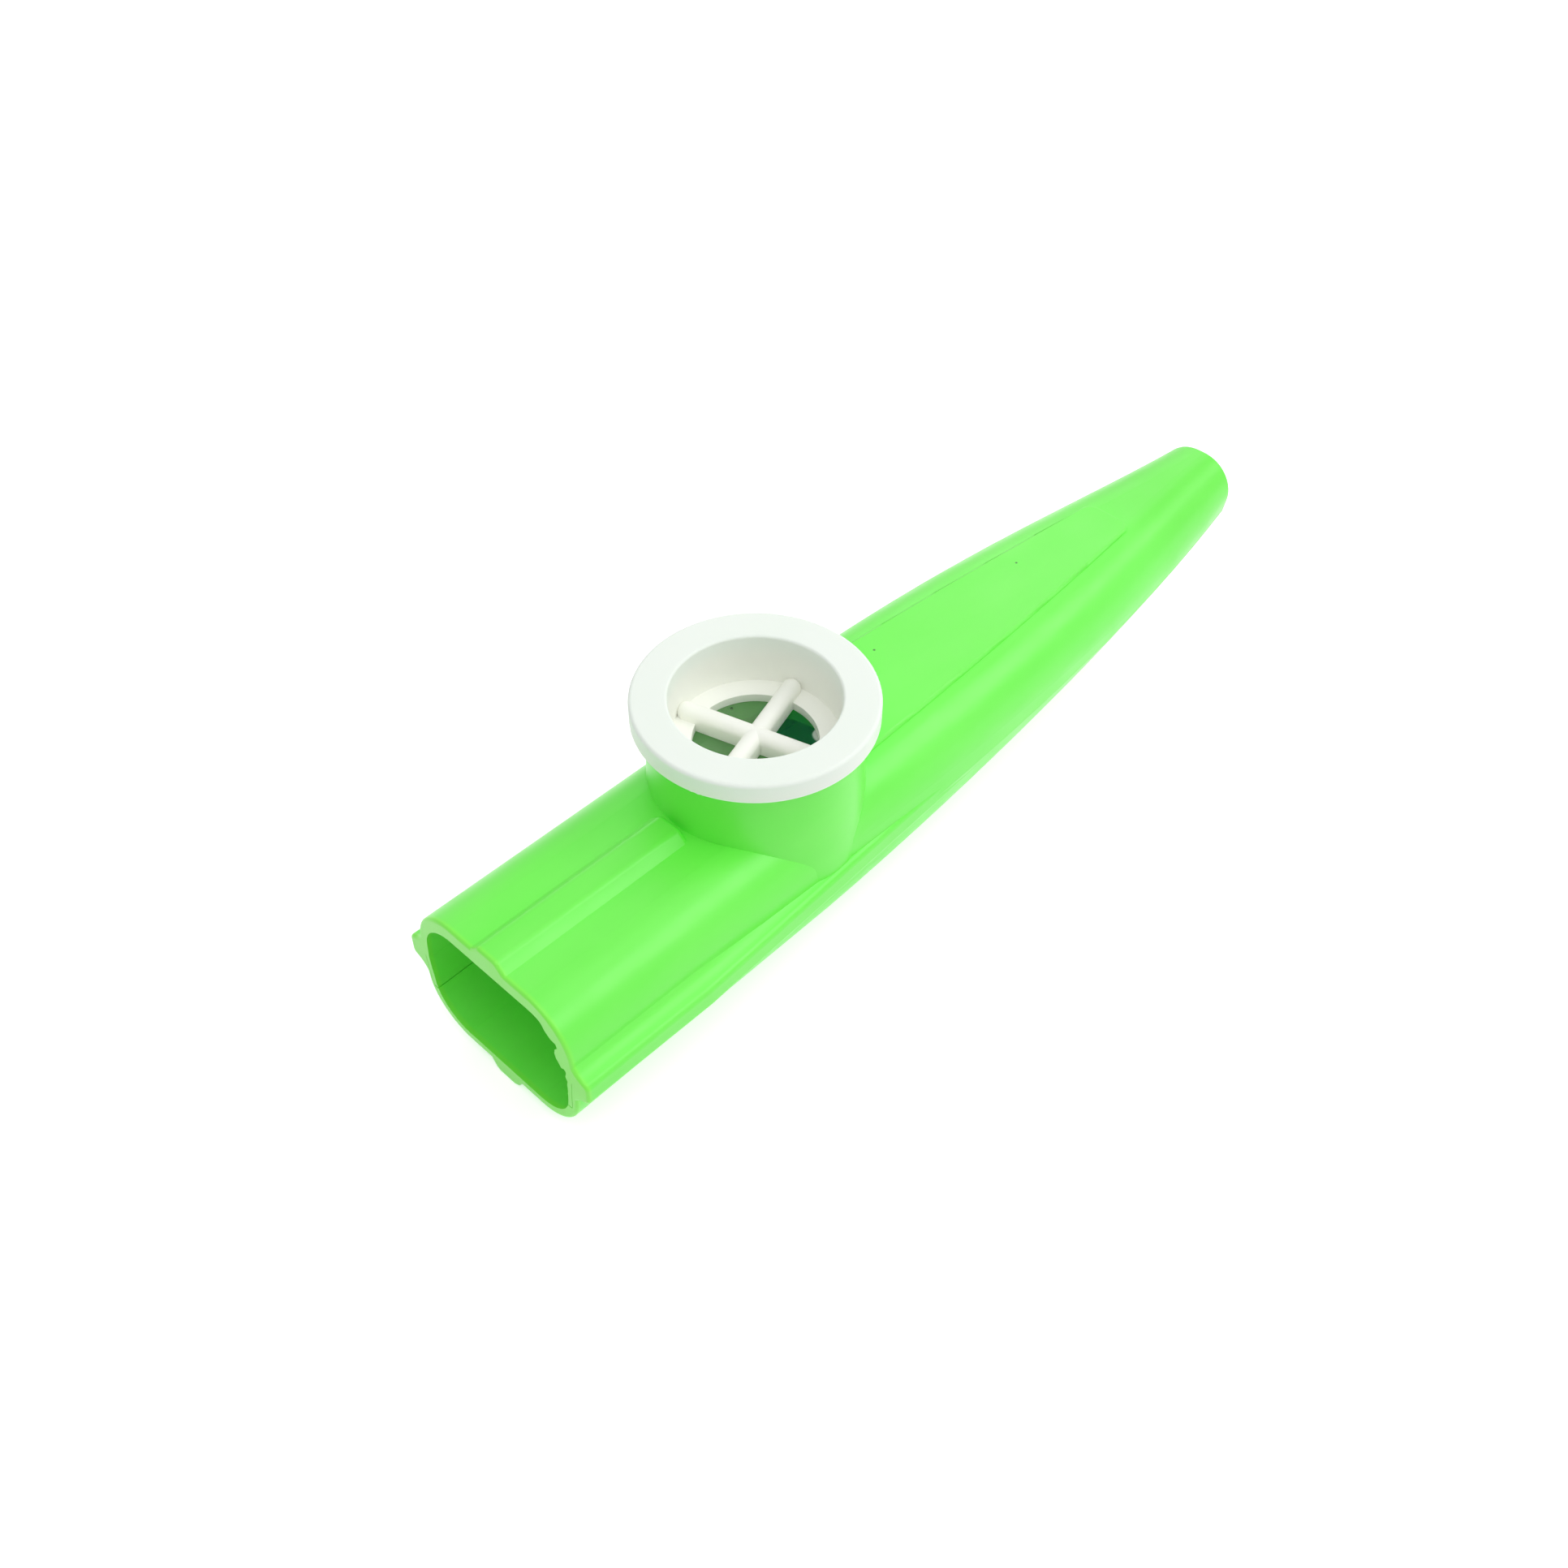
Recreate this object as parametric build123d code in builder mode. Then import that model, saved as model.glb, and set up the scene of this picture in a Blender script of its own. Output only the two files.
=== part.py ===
from build123d import *
import math
import os

# A plastic kazoo: two half shells lapped at a seam, a film on a ledge in the turret, and a push-in cap.
# +X runs from the mouth to the tip, +Z up, with the origin under the middle of the length.

# Body
length = 120.0
mouth_to_turret = 36.7
body_width = 23.8
body_top = 8.65
mouth_bottom = 9.3
body_bottom = 8.5
shoulder_radius = 5.9
wall = 1.2
top_wall_share = 1.55
side_draft = 5.0
mouth_edge_radius = 0.35

# Tail, from the turret's axis to the tip
tip_width = 9.5
tip_top = 7.1
tip_bottom = 2.4
tip_side_draft = -8.0
tip_under_draft = 30.0
tip_edge_radius = 0.4
plan_power = 2.3
underside_power = 1.22
tip_round_share = 0.97
under_round_share = 1.3
station_shares = (0, 0.3, 0.6, 0.82, 1)

# Ribs
top_rib_base = 5.4
top_rib_crest = 2.8
top_rib_height = 1.1
top_rib_end_gap = 0.6
bottom_rib_base = 4.8
bottom_rib_crest = 3.2
bottom_rib_height = 1.3
bottom_rib_chamfer = 0.4
bottom_rib_end = 18.0
bottom_rib_ramp = 14.0
side_rib_base = 6.0
side_rib_crest = 2.8
side_rib_height = 1.75
side_rib_end = -20.0
side_rib_fade = 50.0
rib_edge_radius = 0.8
rib_end_radius = 0.6
top_rib_hollow_share = 0.04
side_rib_hollow_share = 0.14
rib_foot_drop = 0.08
rib_root = 3.0
rib_sink = 0.2

# Raised panel on top of the tail
panel_start_width = 14.7
panel_end_width = 6.4
panel_end = 63.0
panel_bow = 0.6
panel_height = 0.4
panel_corner_radius = 1.6
panel_edge_radius = 0.35

# Lap joint at the seam
lip_thickness = 0.55
lap_clearance = 0.05
mouth_lip_depth = 4.6
tip_lip_depth = 1.0
lip_end_gap = 0.15

# Turret
turret_height = 16.5
turret_rim_radius = 11.25
turret_draft = 3.0
turret_foot = 1.5
ledge_thickness = 1.2
ledge_hole_radius = 7.6
throat_radius = 10.2

# Cap
plug_radius = 10.0
plug_clearance = 0.05
plug_length = 4.65
flange_radius = 13.0
flange_thickness = 2.6
flange_gap = 0.1
flange_edge_radius = 0.4
flange_chamfer = 0.3
cup_radius = 9.0
cup_edge_radius = 0.3
plug_chamfer = 0.3
ring_thickness = 1.0
ring_hole_radius = 6.7
bar_width = 2.1
bar_rise = 1.4
bar_seat = 0.25
cross_angle = 17.0

# Film
film_thickness = 0.1
film_clearance = 0.15

overrun = 2.0

# Places that follow from the sizes
tail_length = length - mouth_to_turret
mouth_x = -length / 2
tip_x = length / 2
turret_x = mouth_x + mouth_to_turret
seam_z = mouth_bottom + bottom_rib_height
rim_z = seam_z + turret_height
flange_z = rim_z + flange_gap
ring_z = flange_z - plug_length
ledge_z = ring_z - film_thickness
bore_radius = plug_radius + plug_clearance
flange_top_z = flange_z + flange_thickness
turret_axis = Axis((turret_x, 0, 0), (0, 0, 1))
turret_floor = Plane((turret_x, 0, 0))
forward = Vector(1, 0, 0)
left = Vector(0, 1, 0)
up = Vector(0, 0, 1)
down = Vector(0, 0, -1)
quarter_turn = 90
half_turn = 180
seam = Plane.XY.offset(seam_z)


def blend(start, end, share):
    return start + (end - start) * share


def half_width(share):
    return blend(body_width, tip_width, share**plan_power) / 2


def underside(share):
    return blend(body_bottom, tip_bottom, share**underside_power)


def turret_radius_at(height):
    """Outer radius of the turret's drafted wall at a height over the seam."""
    return turret_rim_radius + (turret_height - height) * math.tan(math.radians(turret_draft))


def across(x):
    """Plane across the body at x, with its origin at the height of the seam."""
    return Plane(origin=(x, 0, seam_z), x_dir=(0, 1, 0), z_dir=(1, 0, 0))


def along(z=0):
    """Plane along the body's middle, with its origin on the turret's axis."""
    return Plane(origin=(turret_x, 0, z), x_dir=(1, 0, 0), z_dir=(0, -1, 0))


def section(x, depth, share, inset):
    """Cross-section of the body at x, that deep under the seam, set in from the outside by the inset."""
    half = half_width(share) - inset
    top = blend(body_top, tip_top, share) - inset * top_wall_share
    bottom = depth - inset
    top_half = half - top * math.tan(math.radians(blend(side_draft, tip_side_draft, share)))
    under_half = half - bottom * math.tan(math.radians(blend(side_draft, tip_under_draft, share)))
    top_round = min(shoulder_radius, tip_round_share * half_width(share)) - inset
    under_round = min(shoulder_radius, under_round_share * depth) - inset
    with BuildSketch(across(x)) as profile:
        with BuildLine():
            Polyline(
                (half, 0),
                (top_half, top),
                (-top_half, top),
                (-half, 0),
                (-under_half, -bottom),
                (under_half, -bottom),
                close=True,
            )
        make_face()
        fillet(profile.vertices().group_by(Axis.Y)[-1], top_round)
        fillet(profile.vertices().group_by(Axis.Y)[0], under_round)
    return profile.sketch


def tail_section(share, inset):
    return section(turret_x + share * tail_length, underside(share), share, inset)


def body_form(inset, reach=0):
    """The body's outside set in by the inset, run past the mouth and the tip by the reach."""
    mouth = section(mouth_x, mouth_bottom, 0, inset)
    with BuildPart() as form:
        loft([mouth, tail_section(0, inset)])
        loft([tail_section(share, inset) for share in station_shares])
        if reach:
            extrude(mouth, amount=reach, dir=(-1, 0, 0))
            extrude(tail_section(1, inset), amount=reach, dir=(1, 0, 0))
    return form.part


def lap_plane(depth_past):
    """Slanting plane under the seam, at the lower edge of the lip or the floor of its rebate."""
    start = Vector(mouth_x, 0, seam_z - mouth_lip_depth - depth_past)
    end = Vector(tip_x, 0, seam_z - tip_lip_depth - depth_past)
    run = end - start
    return Plane(origin=start, x_dir=run, z_dir=Vector(0, 1, 0).cross(run) * -1)


def rib_plane(x, outward, foot):
    """Plane across a rib at x, with its origin that far from the seam's middle."""
    origin = Vector(x, 0, seam_z) + outward * foot
    return Plane(origin=origin, x_dir=outward.cross(forward), z_dir=forward)


def hollow_rib(x, outward, foot, height, crest, base, drop, hollow_share):
    """Section of a rib with a rounded crest, and hollow flanks that run out on the body at the drop."""
    hollow = hollow_share * math.hypot((base - crest) / 2, height + drop)
    with BuildSketch(rib_plane(x, outward, foot)) as profile:
        with BuildLine():
            Line((-crest / 2, height), (crest / 2, height))
            SagittaArc((crest / 2, height), (base / 2, -drop), -hollow)
            Polyline((base / 2, -drop), (base / 2, -rib_root), (-base / 2, -rib_root), (-base / 2, -drop))
            SagittaArc((-base / 2, -drop), (-crest / 2, height), -hollow)
        make_face()
        fillet(profile.vertices().group_by(Axis.Y)[-1], rib_edge_radius)
    return profile.sketch


def flat_rib(x, outward, foot, height, crest, base):
    """Section of a rib with a flat, chamfered crest and straight flanks."""
    root = crest + (base - crest) * (height + rib_root) / height
    with BuildSketch(rib_plane(x, outward, foot)) as profile:
        with BuildLine():
            Polyline(
                (root / 2, -rib_root),
                (crest / 2, height),
                (-crest / 2, height),
                (-root / 2, -rib_root),
                close=True,
            )
        make_face()
        chamfer(profile.vertices().group_by(Axis.Y)[-1], bottom_rib_chamfer)
    return profile.sketch


def cross_bar(turn):
    """One bar of the cap's cross, with a round top and round ends, over the floor ring."""
    bar_length = 2 * (cup_radius + bar_seat)
    foot = Plane(origin=(turret_x, 0, ring_z), z_dir=(0, 0, 1)).rotated((0, 0, turn))
    crown_height = ring_thickness + bar_rise - bar_width / 2
    crown = foot.offset(crown_height)
    with BuildPart() as bar:
        with BuildSketch(foot):
            SlotOverall(bar_length, bar_width)
        extrude(amount=crown_height)
        with BuildSketch(crown):
            SlotOverall(bar_length, bar_width)
            Rectangle(bar_length, bar_width, align=(Align.CENTER, Align.MAX), mode=Mode.SUBTRACT)
        revolve(axis=Axis(crown.origin, crown.x_dir), revolution_arc=half_turn)
    return bar.part


# Hollow of the body, from the mouth to the tip
cavity = body_form(wall, overrun)

# Top rib, from the mouth to just before the turret
with BuildPart() as top_rib:
    rib_sizes = (top_rib_height, top_rib_crest, top_rib_base, rib_foot_drop, top_rib_hollow_share)
    rib_start = hollow_rib(mouth_x, up, body_top, *rib_sizes)
    extrude(rib_start, amount=mouth_to_turret - turret_radius_at(body_top) - top_rib_end_gap)
    fillet(top_rib.faces().sort_by(Axis.X)[-1].edges().sort_by(Axis.Z)[1:], rib_end_radius)

# Bottom rib, level from the mouth to the start of the tail, then ramped up into the underside
with BuildPart() as bottom_rib:
    ramp_x = turret_x + bottom_rib_end
    ramp_share = (bottom_rib_end + bottom_rib_ramp) / tail_length
    rib_sizes = (bottom_rib_height, bottom_rib_crest, bottom_rib_base)
    rib_end = flat_rib(ramp_x, down, mouth_bottom, *rib_sizes)
    extrude(rib_end, amount=mouth_to_turret + bottom_rib_end, dir=(-1, 0, 0))
    sunk_foot = underside(ramp_share) - bottom_rib_height - rib_sink
    sunk_end = flat_rib(ramp_x + bottom_rib_ramp, down, sunk_foot, *rib_sizes)
    loft([rib_end, sunk_end])

# Side ribs along the seam, fading out on the tail
with BuildPart() as side_ribs:
    fade_x = turret_x + side_rib_end
    fade_share = (side_rib_end + side_rib_fade) / tail_length
    drop = rib_foot_drop + side_rib_base / 2 * math.tan(math.radians(side_draft))
    rib_sizes = (side_rib_height, side_rib_crest, side_rib_base, drop, side_rib_hollow_share)
    rib_end = hollow_rib(fade_x, left, body_width / 2, *rib_sizes)
    extrude(rib_end, amount=mouth_to_turret + side_rib_end, dir=(-1, 0, 0))
    sunk_foot = half_width(fade_share) - side_rib_height - rib_sink
    sunk_end = hollow_rib(fade_x + side_rib_fade, left, sunk_foot, *rib_sizes)
    loft([rib_end, sunk_end])
    mirror(about=Plane.XZ)

# Outside of the body with its ribs, rounded at the edges of the mouth and the tip
with BuildPart() as outside:
    add(body_form(0))
    add(top_rib.part)
    add(bottom_rib.part)
    add(side_ribs.part)
    fillet(outside.faces().sort_by(Axis.X)[0].edges(), mouth_edge_radius)
    fillet(outside.edges().group_by(Axis.X)[-1], tip_edge_radius)

# Raised panel on the flat of the tail
with BuildPart() as panel:
    fall = Vector(tail_length, 0, tip_top - body_top)
    flat = Plane(origin=(turret_x, 0, seam_z + body_top), x_dir=fall, z_dir=fall.cross(left))
    with BuildSketch(flat.offset(-rib_root)) as outline:
        with BuildLine():
            SagittaArc((0, panel_start_width / 2), (panel_end, panel_end_width / 2), panel_bow)
            Line((panel_end, panel_end_width / 2), (panel_end, -panel_end_width / 2))
            SagittaArc((panel_end, -panel_end_width / 2), (0, -panel_start_width / 2), panel_bow)
            Line((0, -panel_start_width / 2), (0, panel_start_width / 2))
        make_face()
        fillet(outline.vertices().group_by(Axis.X)[-1], panel_corner_radius)
    extrude(amount=rib_root + panel_height)
    fillet(panel.faces().sort_by(Axis.Z)[-1].edges().sort_by(Axis.X)[1:], panel_edge_radius)

# Lip of the upper shell and the rebate that takes it
with BuildPart() as lip:
    add(body_form(wall - lip_thickness))
    add(cavity, mode=Mode.SUBTRACT)
    split(bisect_by=seam, keep=Keep.BOTTOM)
    split(bisect_by=lap_plane(0), keep=Keep.TOP)

with BuildPart() as rebate:
    add(body_form(wall - lip_thickness - lap_clearance, overrun))
    split(bisect_by=lap_plane(lip_end_gap), keep=Keep.TOP)

# Upper shell with the turret
with BuildPart() as upper_shell:
    add(outside.part)
    split(bisect_by=seam, keep=Keep.TOP)
    with BuildSketch(along()):
        with BuildLine():
            Polyline(
                (0, seam_z + turret_foot),
                (turret_radius_at(turret_foot), seam_z + turret_foot),
                (turret_rim_radius, rim_z),
                (0, rim_z),
                close=True,
            )
        make_face()
    revolve(axis=turret_axis)
    add(panel.part)
    add(cavity, mode=Mode.SUBTRACT)
    with BuildSketch(turret_floor.offset(seam_z)):
        Circle(throat_radius)
    extrude(amount=ledge_z - ledge_thickness - seam_z, mode=Mode.SUBTRACT)
    with BuildSketch(turret_floor.offset(seam_z)):
        Circle(ledge_hole_radius)
    extrude(amount=ledge_z - seam_z + overrun, mode=Mode.SUBTRACT)
    with BuildSketch(turret_floor.offset(ledge_z)):
        Circle(bore_radius)
    extrude(amount=rim_z - ledge_z + overrun, mode=Mode.SUBTRACT)
    add(lip.part)

# Lower shell
with BuildPart() as lower_shell:
    add(outside.part)
    split(bisect_by=seam, keep=Keep.BOTTOM)
    add(cavity, mode=Mode.SUBTRACT)
    add(rebate.part, mode=Mode.SUBTRACT)

# Cap: flange, cup, floor ring and cross
with BuildPart() as resonator_cap:
    with BuildSketch(along()) as cap_profile:
        with BuildLine():
            Polyline(
                (ring_hole_radius, ring_z),
                (plug_radius - plug_chamfer, ring_z),
                (plug_radius, ring_z + plug_chamfer),
                (plug_radius, flange_z),
                (flange_radius, flange_z),
                (flange_radius, flange_top_z),
                (cup_radius, flange_top_z),
                (cup_radius, ring_z + ring_thickness),
                (ring_hole_radius, ring_z + ring_thickness),
                close=True,
            )
        make_face()
        flange_edges = cap_profile.vertices().group_by(Axis.X)[-1].sort_by(Axis.Y)
        chamfer(flange_edges[0], flange_chamfer)
        fillet(flange_edges[-1], flange_edge_radius)
        fillet(cap_profile.vertices().group_by(Axis.Y)[-1].sort_by(Axis.X)[0], cup_edge_radius)
    revolve(axis=turret_axis)
    add(cross_bar(cross_angle))
    add(cross_bar(cross_angle + quarter_turn))

# Film disc on the ledge
with BuildPart() as membrane:
    with BuildSketch(turret_floor.offset(ledge_z)):
        Circle(bore_radius - film_clearance)
    extrude(amount=film_thickness)

os.makedirs("parts", exist_ok=True)
upper_shell.part.label = "upper_shell"
export_step(upper_shell.part, "parts/upper_shell.step")
lower_shell.part.label = "lower_shell"
export_step(lower_shell.part, "parts/lower_shell.step")
resonator_cap.part.label = "resonator_cap"
export_step(resonator_cap.part, "parts/resonator_cap.step")
membrane.part.label = "membrane"
export_step(membrane.part, "parts/membrane.step")
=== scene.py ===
import math
import random

import bpy
from mathutils import Matrix, Vector


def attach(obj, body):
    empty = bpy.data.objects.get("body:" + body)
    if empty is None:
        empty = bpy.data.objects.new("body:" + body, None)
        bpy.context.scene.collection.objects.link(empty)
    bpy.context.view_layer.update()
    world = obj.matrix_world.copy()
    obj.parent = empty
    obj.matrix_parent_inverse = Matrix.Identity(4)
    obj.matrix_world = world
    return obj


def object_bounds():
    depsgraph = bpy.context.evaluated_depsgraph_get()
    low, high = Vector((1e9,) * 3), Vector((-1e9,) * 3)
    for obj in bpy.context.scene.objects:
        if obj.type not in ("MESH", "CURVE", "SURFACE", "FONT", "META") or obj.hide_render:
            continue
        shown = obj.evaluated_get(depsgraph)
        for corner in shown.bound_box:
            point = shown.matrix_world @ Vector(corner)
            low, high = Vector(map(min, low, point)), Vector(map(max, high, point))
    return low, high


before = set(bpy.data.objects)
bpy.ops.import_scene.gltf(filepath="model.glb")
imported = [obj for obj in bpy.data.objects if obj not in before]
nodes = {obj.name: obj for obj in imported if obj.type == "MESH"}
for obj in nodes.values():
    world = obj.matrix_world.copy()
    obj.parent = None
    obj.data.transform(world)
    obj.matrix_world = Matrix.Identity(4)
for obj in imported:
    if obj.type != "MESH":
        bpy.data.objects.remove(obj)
cad_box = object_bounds()

# Camera, fitted to the photograph: focal length in pixels of its width, and its place in metres
photo_width_px = 1932
focal_px = 2133.5
sensor_mm = 36.0
camera_place = Vector((-0.11435, -0.09090, 0.15069))
camera_back = Vector((-0.5014, -0.4777, 0.7214)).normalized()
camera_roll_deg = 0.527
clip_near = 0.01
clip_far = 20.0

# Places on the part, in metres
mouth_x = cad_box[0][0]
tip_x = cad_box[1][0]
seam_z = 0.0106
turret_x = -0.0233
flange_radius = 0.0130
flange_under_z = 0.0272
film_z = 0.0225

# Stage: half the floor's width in metres, and the strengths of the world and floor
floor_half = 3.0
floor_grey = 0.92
floor_glow = 0.55
background_strength = 1.0
fill_strength = 0.52

# Lamps: name, place and size in metres, and power in watts
lamp_target = Vector((0, 0, 0.01))
lamps = [
    ("overhead", (-0.1, -0.1, 0.7), (0.5, 0.5), 1.1),
    ("back", (0.56, 0.40, 0.40), (0.55, 0.35), 0.57),
    ("window", (0.33, -0.33, 0.45), (0.62, 0.30), 1.46),
]

# Colours
white_light = (1, 1, 1, 1)
green_deep = (0.175, 0.955, 0.085, 1)
green_light = (0.200, 0.975, 0.105, 1)
# Painted glow: lighter, yellower green for the mouth's cut end, standing in for light coming through the
# translucent wall
green_painted_rim_glow = (0.280, 0.990, 0.070, 1)
# Painted shade: darker, more saturated green for the tail's end, standing in for the weaker sheen there
green_painted_tip_shade = (0.150, 0.880, 0.060, 1)
green_speck = (0.03, 0.24, 0.02, 1)
white_deep = (0.905, 0.990, 0.900, 1)
white_pale = (0.920, 0.995, 0.915, 1)
# Painted light: brighter, warmer white for the cup and the rest of the cap low in it, standing in for light
# coming through the translucent walls
white_painted_cup_light = (0.980, 0.995, 0.920, 1)
film_hazy = (0.30, 0.55, 0.25, 1)
film_clear = (0.05, 0.50, 0.33, 1)
film_glare = (0.9, 0.95, 0.88, 1)
film_speck = (0.02, 0.08, 0.02, 1)
film_tint = (0.80, 0.88, 0.84, 1)

# Dark specks in the green plastic, as in the photograph, in metres
green_specks = [(-0.0006, 0.0035, 0.0193), (-0.0140, -0.0065, 0.0190), (0.0235, 0.0021, 0.0187)]

# Moulding flash, in metres
flash_thickness = 0.0003
mouth_flash_setback = 0.00025
cap_flash_inset = 0.0003


def link(obj):
    bpy.context.scene.collection.objects.link(obj)
    return obj


def make_camera():
    data = bpy.data.cameras.new("camera")
    data.sensor_width = sensor_mm
    data.lens = focal_px / photo_width_px * sensor_mm
    data.clip_start = clip_near
    data.clip_end = clip_far
    forward = -camera_back
    level = forward.cross(Vector((0, 0, 1))).normalized()
    upright = level.cross(forward)
    roll = math.radians(camera_roll_deg)
    right = level * math.cos(roll) + upright * math.sin(roll)
    up = upright * math.cos(roll) - level * math.sin(roll)
    turn = Matrix((right, up, camera_back)).transposed().to_4x4()
    camera = link(bpy.data.objects.new("camera", data))
    camera.matrix_world = Matrix.Translation(camera_place) @ turn
    bpy.context.scene.camera = camera


class Nodes:
    """Short way to add and link the nodes of a material or world."""

    def __init__(self, owner):
        owner.use_nodes = True
        self.tree = owner.node_tree
        self.tree.nodes.clear()

    def add(self, kind, inputs=None, **settings):
        node = self.tree.nodes.new("ShaderNode" + kind)
        for name, value in settings.items():
            setattr(node, name, value)
        for name, value in (inputs or {}).items():
            if isinstance(value, bpy.types.NodeSocket):
                self.tree.links.new(value, node.inputs[name])
            else:
                node.inputs[name].default_value = value
        return node

    def out(self, kind, inputs=None, **settings):
        return self.add(kind, inputs, **settings).outputs[0]

    def place(self):
        return self.add("TexCoord").outputs["Object"]

    def axis(self, place, letter):
        return self.add("SeparateXYZ", {"Vector": place}).outputs[letter]

    def noise(self, place, scale, detail, stretch=(1, 1, 1)):
        spread = self.out("Mapping", {"Vector": place, "Scale": stretch})
        return self.out("TexNoise", {"Vector": spread, "Scale": scale, "Detail": detail})

    def ramp(self, value, low, high, start=0.0, end=1.0):
        return self.out("MapRange", {"Value": value, "From Min": low, "From Max": high,
                                     "To Min": start, "To Max": end}, interpolation_type="SMOOTHSTEP")

    def near(self, place, point, inner, outer):
        """One within the inner distance of the point, falling to zero at the outer distance."""
        away = self.add("VectorMath", {0: place, 1: point}, operation="DISTANCE").outputs["Value"]
        return self.ramp(away, inner, outer, 1.0, 0.0)

    def sum(self, a, b, operation="ADD"):
        return self.out("Math", {0: a, 1: b}, operation=operation)

    def mix(self, share, a, b):
        return self.add("Mix", {0: share, 6: a, 7: b}, data_type="RGBA").outputs[2]

    def bump(self, height, strength, distance):
        return self.out("Bump", {"Height": height, "Strength": strength, "Distance": distance})

    def seen(self):
        """One for rays that show a thing directly, in a reflection or through a clear one."""
        path = self.add("LightPath").outputs
        direct = self.sum(path["Is Camera Ray"], path["Is Transmission Ray"], "MAXIMUM")
        return self.sum(direct, path["Is Glossy Ray"], "MAXIMUM")


def area_light(name, place, size, power):
    data = bpy.data.lights.new(name, "AREA")
    data.shape = "RECTANGLE"
    data.size, data.size_y = size
    data.energy = power
    light = link(bpy.data.objects.new(name, data))
    light.location = place
    light.rotation_mode = "QUATERNION"
    light.rotation_quaternion = (lamp_target - Vector(place)).to_track_quat("-Z", "Y")


def make_world():
    world = bpy.data.worlds.new("studio")
    bpy.context.scene.world = world
    n = Nodes(world)
    seen = n.seen()
    fill = n.out("Background", {"Color": white_light, "Strength": fill_strength})
    white = n.out("Background", {"Color": white_light, "Strength": background_strength})
    n.add("OutputWorld", {"Surface": n.out("MixShader", {0: seen, 1: fill, 2: white})})


def make_floor():
    """Pale floor that looks white and still takes the object's shadow."""
    mesh = bpy.data.meshes.new("floor")
    corners = [(-floor_half, -floor_half, 0), (floor_half, -floor_half, 0),
               (floor_half, floor_half, 0), (-floor_half, floor_half, 0)]
    mesh.from_pydata(corners, [], [(0, 1, 2, 3)])
    floor = link(bpy.data.objects.new("floor", mesh))
    material = bpy.data.materials.new("floor")
    mesh.materials.append(material)
    n = Nodes(material)
    seen = n.seen()
    diffuse = n.out("BsdfDiffuse", {"Color": (floor_grey, floor_grey, floor_grey, 1)})
    glow = n.out("Emission", {"Color": white_light, "Strength": floor_glow})
    both = n.out("AddShader", {0: diffuse, 1: glow})
    n.add("OutputMaterial", {"Surface": n.out("MixShader", {0: seen, 1: diffuse, 2: both})})


def green_plastic():
    """Glossy green, with faint flow marks, a painted glow on the mouth's cut end (lighter, yellower green),
    painted shade at the tail's end (darker, deeper green) and a few dark specks.
    """
    material = bpy.data.materials.new("green_plastic")
    n = Nodes(material)
    place = n.place()
    flow = n.noise(place, scale=70.0, detail=3.0, stretch=(0.5, 1.4, 1.4))
    colour = n.mix(n.ramp(flow, 0.35, 0.65), green_deep, green_light)
    along = n.axis(place, "X")
    # Painted glow on the mouth's cut end: half of the lighter green over the first 0.3 mm, fading out by 0.7
    # mm in
    painted_rim_glow = n.ramp(along, mouth_x + 0.0003, mouth_x + 0.0007, 0.5, 0.0)
    colour = n.mix(painted_rim_glow, colour, green_painted_rim_glow)
    # Painted shade at the tail's end: the darker green rises from 24 mm to 12 mm before the end, to 0.8 of
    # it
    painted_tip_shade = n.ramp(along, tip_x - 0.0240, tip_x - 0.0120, 0.0, 0.8)
    colour = n.mix(painted_tip_shade, colour, green_painted_tip_shade)
    specks = 0.0
    for point in green_specks:
        specks = n.sum(specks, n.near(place, point, inner=0.00010, outer=0.00022))
    colour = n.mix(specks, colour, green_speck)
    rough = n.ramp(n.noise(place, scale=220.0, detail=3.0), 0.3, 0.7, 0.29, 0.36)
    waves = n.noise(place, scale=110.0, detail=1.0)
    shader = n.out("BsdfPrincipled", {
        "Base Color": colour, "Roughness": rough, "IOR": 1.5,
        "Normal": n.bump(waves, strength=0.2, distance=0.0001),
        "Subsurface Weight": 0.15, "Subsurface Radius": (0.5, 1.0, 0.3), "Subsurface Scale": 0.0006})
    n.add("OutputMaterial", {"Surface": shader})
    return material


def white_plastic():
    """Satin white with a fine grain, and painted light in the cup: a brighter, warmer white lower in the
    cap.
    """
    material = bpy.data.materials.new("white_plastic")
    n = Nodes(material)
    place = n.place()
    flow = n.noise(place, scale=120.0, detail=3.0)
    colour = n.mix(n.ramp(flow, 0.35, 0.65), white_deep, white_pale)
    # Painted light in the cup: the brighter, warmer white takes over between 29.5 mm and 26.5 mm height
    painted_cup_light = n.ramp(n.axis(place, "Z"), 0.0295, 0.0265)
    colour = n.mix(painted_cup_light, colour, white_painted_cup_light)
    grain = n.noise(place, scale=1400.0, detail=2.0)
    shader = n.out("BsdfPrincipled", {
        "Base Color": colour, "Roughness": n.ramp(grain, 0.3, 0.7, 0.40, 0.48), "IOR": 1.46,
        "Normal": n.bump(grain, strength=0.08, distance=0.0001),
        "Subsurface Weight": 0.15, "Subsurface Radius": (1.0, 1.0, 0.9), "Subsurface Scale": 0.0006})
    n.add("OutputMaterial", {"Surface": shader})
    return material


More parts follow.
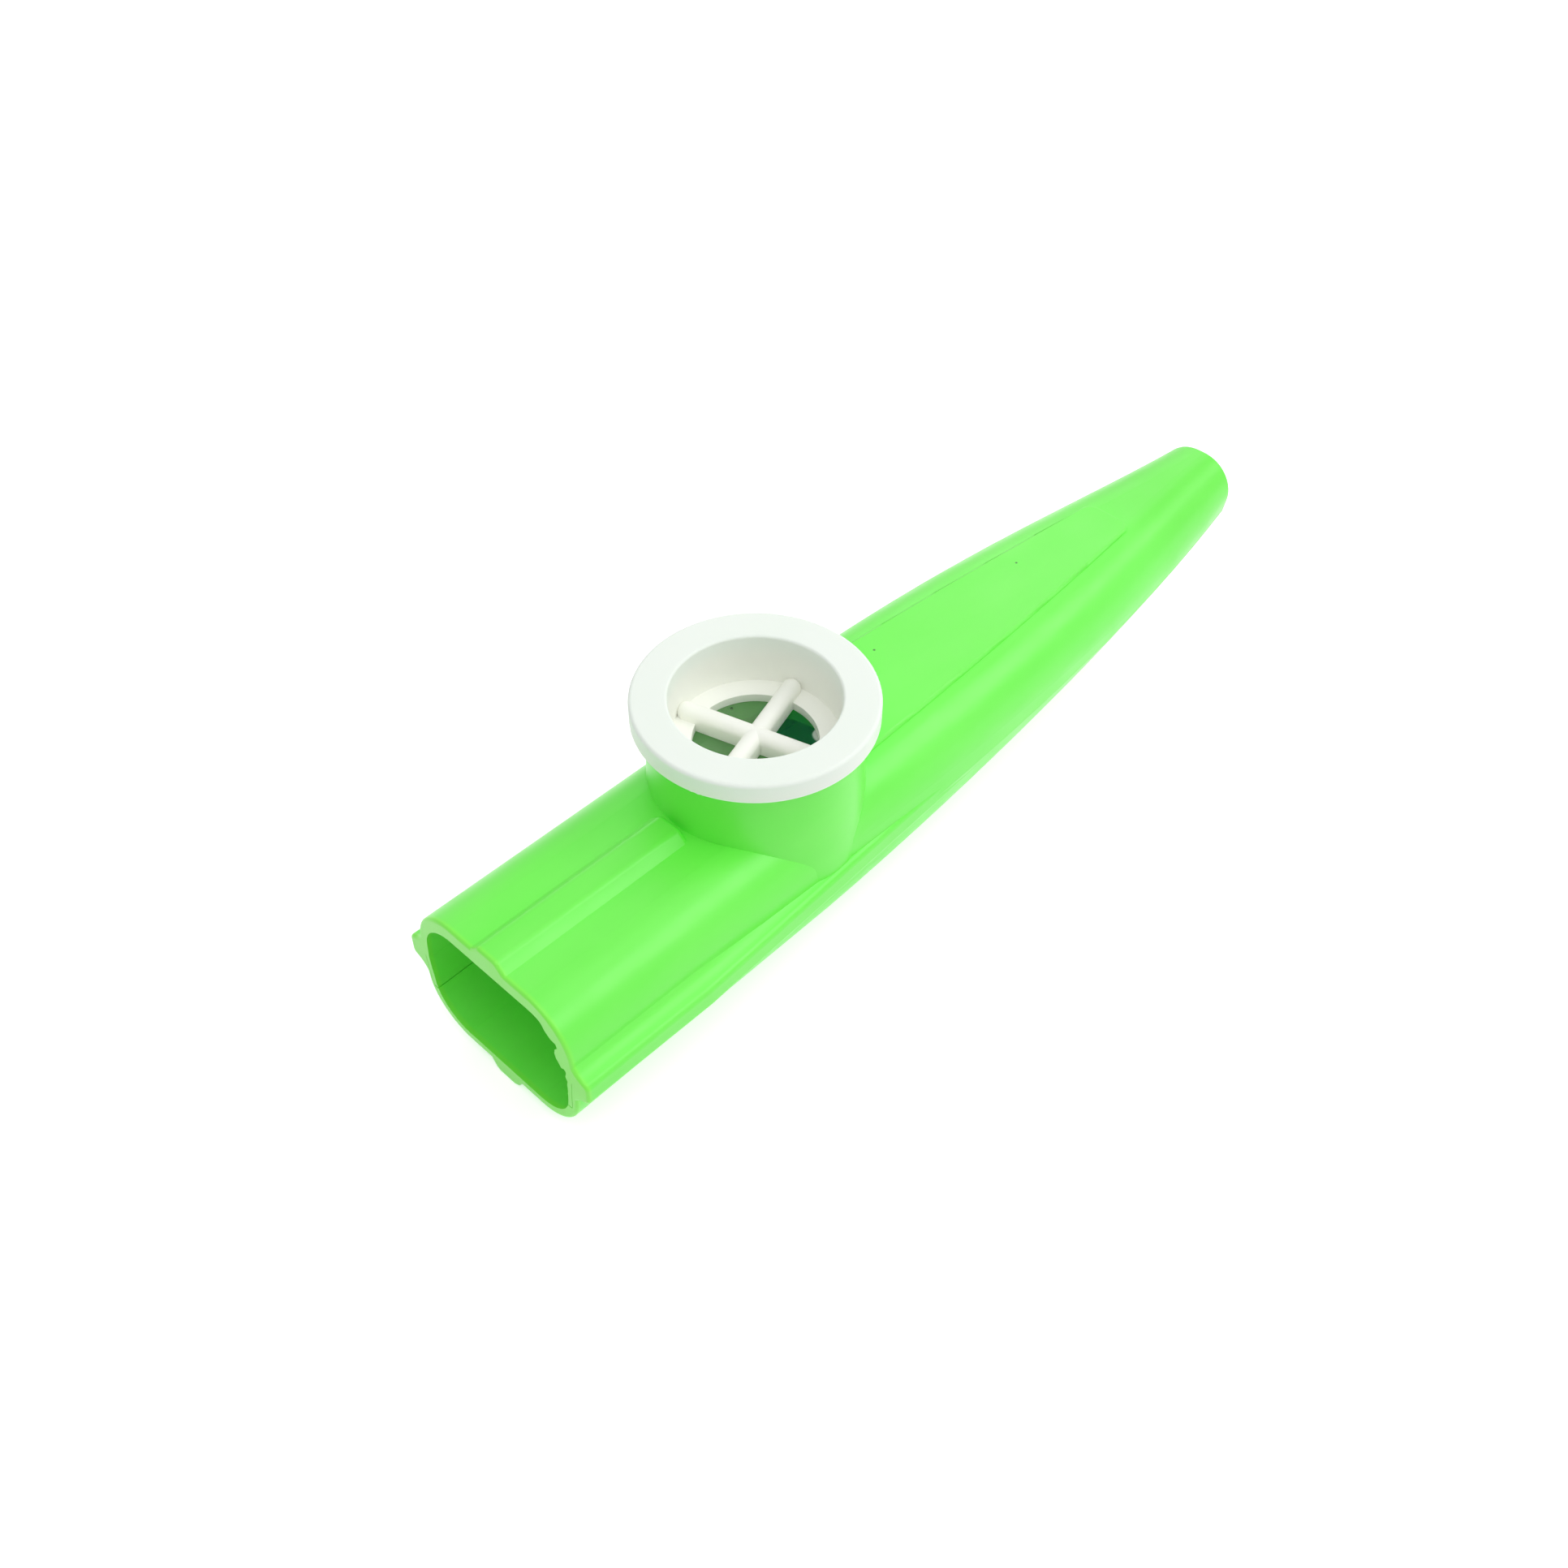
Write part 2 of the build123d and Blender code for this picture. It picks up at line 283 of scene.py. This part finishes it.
def clear_film():
    """Hazy film with a clearer patch, a spot of glare and one dark speck."""
    material = bpy.data.materials.new("clear_film")
    n = Nodes(material)
    place = n.place()
    clear = n.near(place, (turret_x + 0.0058, -0.0010, film_z), inner=0.0034, outer=0.0050)
    glare = n.near(place, (turret_x + 0.0061, -0.0040, film_z), inner=0.0010, outer=0.0013)
    speck = n.near(place, (turret_x + 0.0022, 0.0058, film_z), inner=0.00010, outer=0.00025)
    crinkle = n.noise(place, scale=420.0, detail=3.0)
    haze = n.sum(n.ramp(clear, 0.0, 1.0, 0.30, 0.06), n.ramp(crinkle, 0.3, 0.7, 0.9, 1.1), "MULTIPLY")
    haze = n.sum(haze, n.sum(glare, 0.35, "MULTIPLY"))
    haze = n.sum(haze, speck, "MAXIMUM")
    colour = n.mix(clear, film_hazy, film_clear)
    colour = n.mix(glare, colour, film_glare)
    colour = n.mix(speck, colour, film_speck)
    see = n.out("BsdfTransparent", {"Color": film_tint})
    body = n.out("BsdfPrincipled", {
        "Base Color": colour, "Roughness": 0.25, "IOR": 1.45,
        "Normal": n.bump(crinkle, strength=0.3, distance=0.0002)})
    n.add("OutputMaterial", {"Surface": n.out("MixShader", {0: haze, 1: see, 2: body})})
    return material


def paint(node, material):
    slots = nodes[node].data.materials
    slots.clear()
    slots.append(material)


def plate(name, outline, place, body, material):
    """Thin plate from a closed outline, with each outline point turned into the frame at both faces."""
    count = len(outline)
    corners = [place(a, b, side * flash_thickness) for side in (0, 1) for a, b in outline]
    faces = [tuple(reversed(range(count))), tuple(range(count, 2 * count))]
    faces += [(i, (i + 1) % count, count + (i + 1) % count, count + i) for i in range(count)]
    mesh = bpy.data.meshes.new(name)
    mesh.from_pydata(corners, [], faces)
    mesh.materials.append(material)
    obj = link(bpy.data.objects.new(name, mesh))
    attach(obj, body)


def mouth_flash(material):
    """Torn moulding flash inside the right edge of the mouth, in mm across and over the seam."""
    torn = [(-6.6, 6.2), (-7.3, 5.65), (-7.7, 4.95), (-8.5, 4.25), (-9.2, 4.2), (-9.35, 3.6), (-8.95, 3.1),
            (-8.8, 2.4), (-8.95, 1.7), (-9.3, 1.2), (-9.6, 0.7), (-10.0, 0.9), (-10.3, 0.6), (-10.05, -0.3),
            (-10.3, -0.9), (-10.15, -1.7), (-10.25, -2.6), (-10.05, -3.2), (-10.2, -4.0), (-10.0, -5.0)]
    seat = [(-10.8, -5.0), (-11.2, -2.0), (-11.3, 1.0), (-11.0, 3.6), (-10.2, 5.8), (-8.6, 7.3), (-6.6, 7.9)]

    def place(across, over, depth):
        return (mouth_x + mouth_flash_setback + depth, across / 1000, seam_z + over / 1000)

    plate("mouth_flash", torn + seat, place, "body", material)


def cap_flash(material):
    """Ragged flash under the flange's edge, in degrees round the cap and mm over the flange's underside."""
    start, end, steps = 184.0, 204.0, 24
    least_drop, ragged_drop, hidden_rise = 0.02, 0.16, 0.5
    rag = random.Random(7)
    turns = [start + (end - start) * i / steps for i in range(steps + 1)]
    low = [(turn, -least_drop - ragged_drop * rag.random() * math.sin(math.pi * i / steps))
           for i, turn in enumerate(turns)]
    top = [(turn, hidden_rise) for turn in reversed(turns)]

    def place(turn, over, depth):
        angle = math.radians(turn)
        radius = flange_radius - cap_flash_inset - depth
        return (turret_x + radius * math.cos(angle), radius * math.sin(angle), flange_under_z + over / 1000)

    plate("cap_flash", low + top, place, "cap", material)


make_camera()
make_world()
make_floor()
for lamp in lamps:
    area_light(*lamp)

green = green_plastic()
white = white_plastic()
film = clear_film()
paint("upper_shell", green)
paint("lower_shell", green)
paint("resonator_cap", white)
paint("membrane", film)
mouth_flash(green)
cap_flash(white)
bpy.context.scene.view_settings.view_transform = "Standard"
